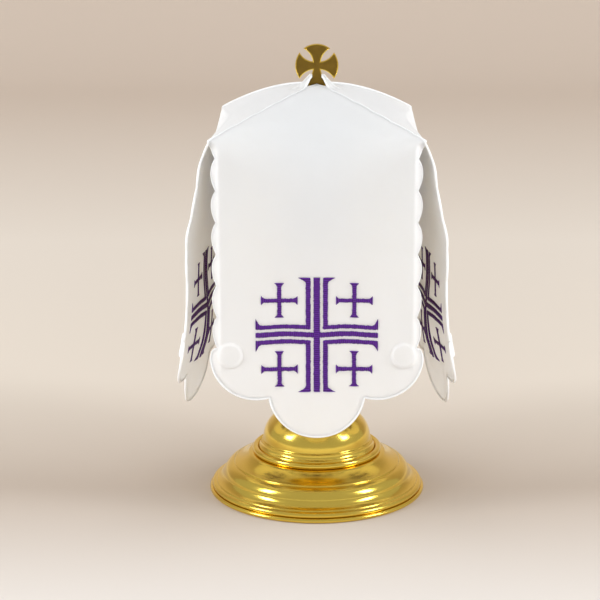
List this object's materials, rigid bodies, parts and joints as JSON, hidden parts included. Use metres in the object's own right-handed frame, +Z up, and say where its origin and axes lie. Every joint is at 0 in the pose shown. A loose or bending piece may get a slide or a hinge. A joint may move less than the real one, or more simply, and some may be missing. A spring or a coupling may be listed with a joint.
{
  "type": "ciborium with veil",
  "caption": "Lidded gilt cup on a stepped foot, topped by a flared cross and dressed in a white cloth veil of hanging panels with purple embroidered crosses.",
  "frame": {"origin": "centre of the foot's underside, on the surface it stands on", "axes": "+Z up, -Y to the front panel, +X to the right seen from the front"},
  "size_m": [0.1594, 0.125, 0.259],
  "materials": {
    "gilt_brass": "polished",
    "antique_brass": "satin",
    "steel": "plain",
    "felt": "matte",
    "veil_cloth": "matte",
    "purple_thread": "satin"
  },
  "bodies": {
    "vessel": {"base_felt": "felt", "base_plate": "steel", "foot_rim": "gilt_brass", "foot_shell": "gilt_brass", "foot_wire_ring": "gilt_brass", "foot_bell": "gilt_brass", "base_washer": "steel", "base_nut": "steel", "tie_rod": "steel", "lower_collar": "gilt_brass", "lower_stem": "gilt_brass", "knop": "gilt_brass", "upper_stem": "gilt_brass", "upper_collar": "gilt_brass", "cup_boss": "gilt_brass", "cup": "gilt_brass"},
    "lid": {"lid_bead": "gilt_brass", "lid_locating_ring": "gilt_brass", "lid_shell": "gilt_brass", "finial_base": "gilt_brass", "finial_washer": "steel", "finial_nut": "steel", "finial_cross": "antique_brass"},
    "veil_crown": {"gore_front": "veil_cloth", "gore_back": "veil_cloth", "gore_left": "veil_cloth", "gore_right": "veil_cloth", "slit_binding": "veil_cloth"},
    "front_panel": {"drop_front": "veil_cloth", "embroidery_front": "purple_thread", "weight_front_a": "steel", "weight_front_b": "steel"},
    "back_panel": {"drop_back": "veil_cloth", "embroidery_back": "purple_thread", "weight_back_a": "steel", "weight_back_b": "steel"},
    "left_panel": {"drop_left": "veil_cloth", "embroidery_left": "purple_thread", "weight_left_a": "steel", "weight_left_b": "steel"},
    "right_panel": {"drop_right": "veil_cloth", "embroidery_right": "purple_thread", "weight_right_a": "steel", "weight_right_b": "steel"}
  },
  "joints": [
    {"name": "lid_lift", "type": "slide", "parent": "vessel", "child": "lid", "axis": [0, 0, 1], "range_m": [0, 0.12]},
    {"name": "veil_lift", "type": "slide", "parent": "lid", "child": "veil_crown", "axis": [0, 0, 1], "range_m": [0, 0.22]},
    {"name": "front_panel_swing", "type": "hinge", "parent": "veil_crown", "child": "front_panel", "pos_m": [0, -0.0601, 0.216], "axis": [-1, 0, 0], "range_deg": [0, 70]},
    {"name": "back_panel_swing", "type": "hinge", "parent": "veil_crown", "child": "back_panel", "pos_m": [0, 0.0601, 0.216], "axis": [1, 0, 0], "range_deg": [0, 70]},
    {"name": "left_panel_swing", "type": "hinge", "parent": "veil_crown", "child": "left_panel", "pos_m": [-0.0583, 0, 0.216], "axis": [0, 1, 0], "range_deg": [0, 70]},
    {"name": "right_panel_swing", "type": "hinge", "parent": "veil_crown", "child": "right_panel", "pos_m": [0.0583, 0, 0.216], "axis": [0, -1, 0], "range_deg": [0, 70]}
  ]
}
